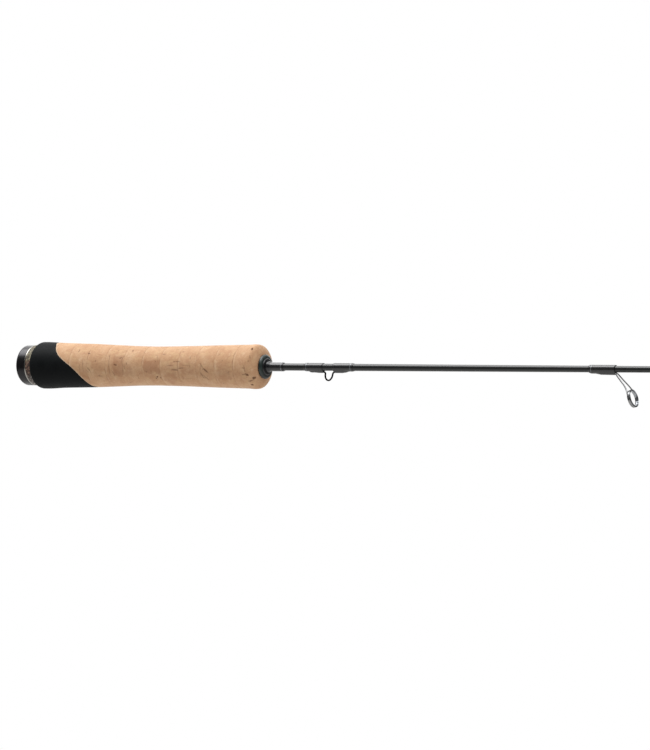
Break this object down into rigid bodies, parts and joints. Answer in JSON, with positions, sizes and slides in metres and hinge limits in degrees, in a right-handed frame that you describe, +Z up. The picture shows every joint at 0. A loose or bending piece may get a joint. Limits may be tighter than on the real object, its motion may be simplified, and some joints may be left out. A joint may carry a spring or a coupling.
{
  "type": "ice fishing rod",
  "caption": "Short ice fishing rod with a waisted cork handle, black rear sleeve, metal butt cap, tapered carbon blank, single-foot line guides, a hook keeper and a tip-top.",
  "frame": {"origin": "centre of the butt cap's flat end face, on the rod's axis", "axes": "+X along the rod from the butt to the tip, +Z up with the line guides hanging towards -Z, +Y to the left seen from behind the butt"},
  "size_m": [0.7117, 0.0272, 0.0335],
  "materials": {
    "carbon_blank": "clear-coated carbon, smooth and glossy",
    "gunmetal_cap": "dark gunmetal, glossy",
    "chrome_trim": "bright polished",
    "composite_cork": "speckled composite cork, sanded",
    "grip_rubber": "matte black, fine grained",
    "cork": "natural cork with pits, sanded",
    "black_anodised": "black anodised, glossy",
    "black_thread": "black thread under clear epoxy, glossy",
    "silver_thread": "metallic silver thread under clear epoxy",
    "black_wire": "black coated wire, satin",
    "polished_steel": "polished stainless steel",
    "ring_steel": "mirror-polished hard ring"
  },
  "bodies": {
    "root": {"blank": "carbon_blank", "butt_cap": "gunmetal_cap", "cap_trim_ring": "chrome_trim", "butt_composite_ring": "composite_cork", "grip_sleeve": "grip_rubber", "winding_check": "black_anodised", "hook_keeper": "black_wire", "front_wrap": "black_thread", "front_wrap_trim": "silver_thread", "keeper_wrap_rear": "black_thread", "keeper_wrap_front": "black_thread", "keeper_wrap_rear_trim": "silver_thread", "keeper_wrap_front_trim": "silver_thread", "tip_top_frame": "polished_steel", "tip_top_ring": "ring_steel", "tip_top_wrap": "black_thread", "tip_top_trim": "silver_thread", "cork_ring_01": "cork", "cork_ring_02": "cork", "cork_ring_03": "cork", "cork_ring_04": "cork", "cork_ring_05": "cork", "cork_ring_06": "cork", "cork_ring_07": "cork", "cork_ring_08": "cork", "cork_ring_09": "cork", "cork_ring_10": "cork", "cork_ring_11": "cork", "cork_ring_12": "cork", "guide_1_frame": "polished_steel", "guide_1_ring": "ring_steel", "guide_1_wrap": "black_thread", "guide_1_trim": "silver_thread", "guide_2_frame": "polished_steel", "guide_2_ring": "ring_steel", "guide_2_wrap": "black_thread", "guide_2_trim": "silver_thread", "guide_3_frame": "polished_steel", "guide_3_ring": "ring_steel", "guide_3_wrap": "black_thread", "guide_3_trim": "silver_thread", "guide_4_frame": "polished_steel", "guide_4_ring": "ring_steel", "guide_4_wrap": "black_thread", "guide_4_trim": "silver_thread"}
  },
  "joints": []
}
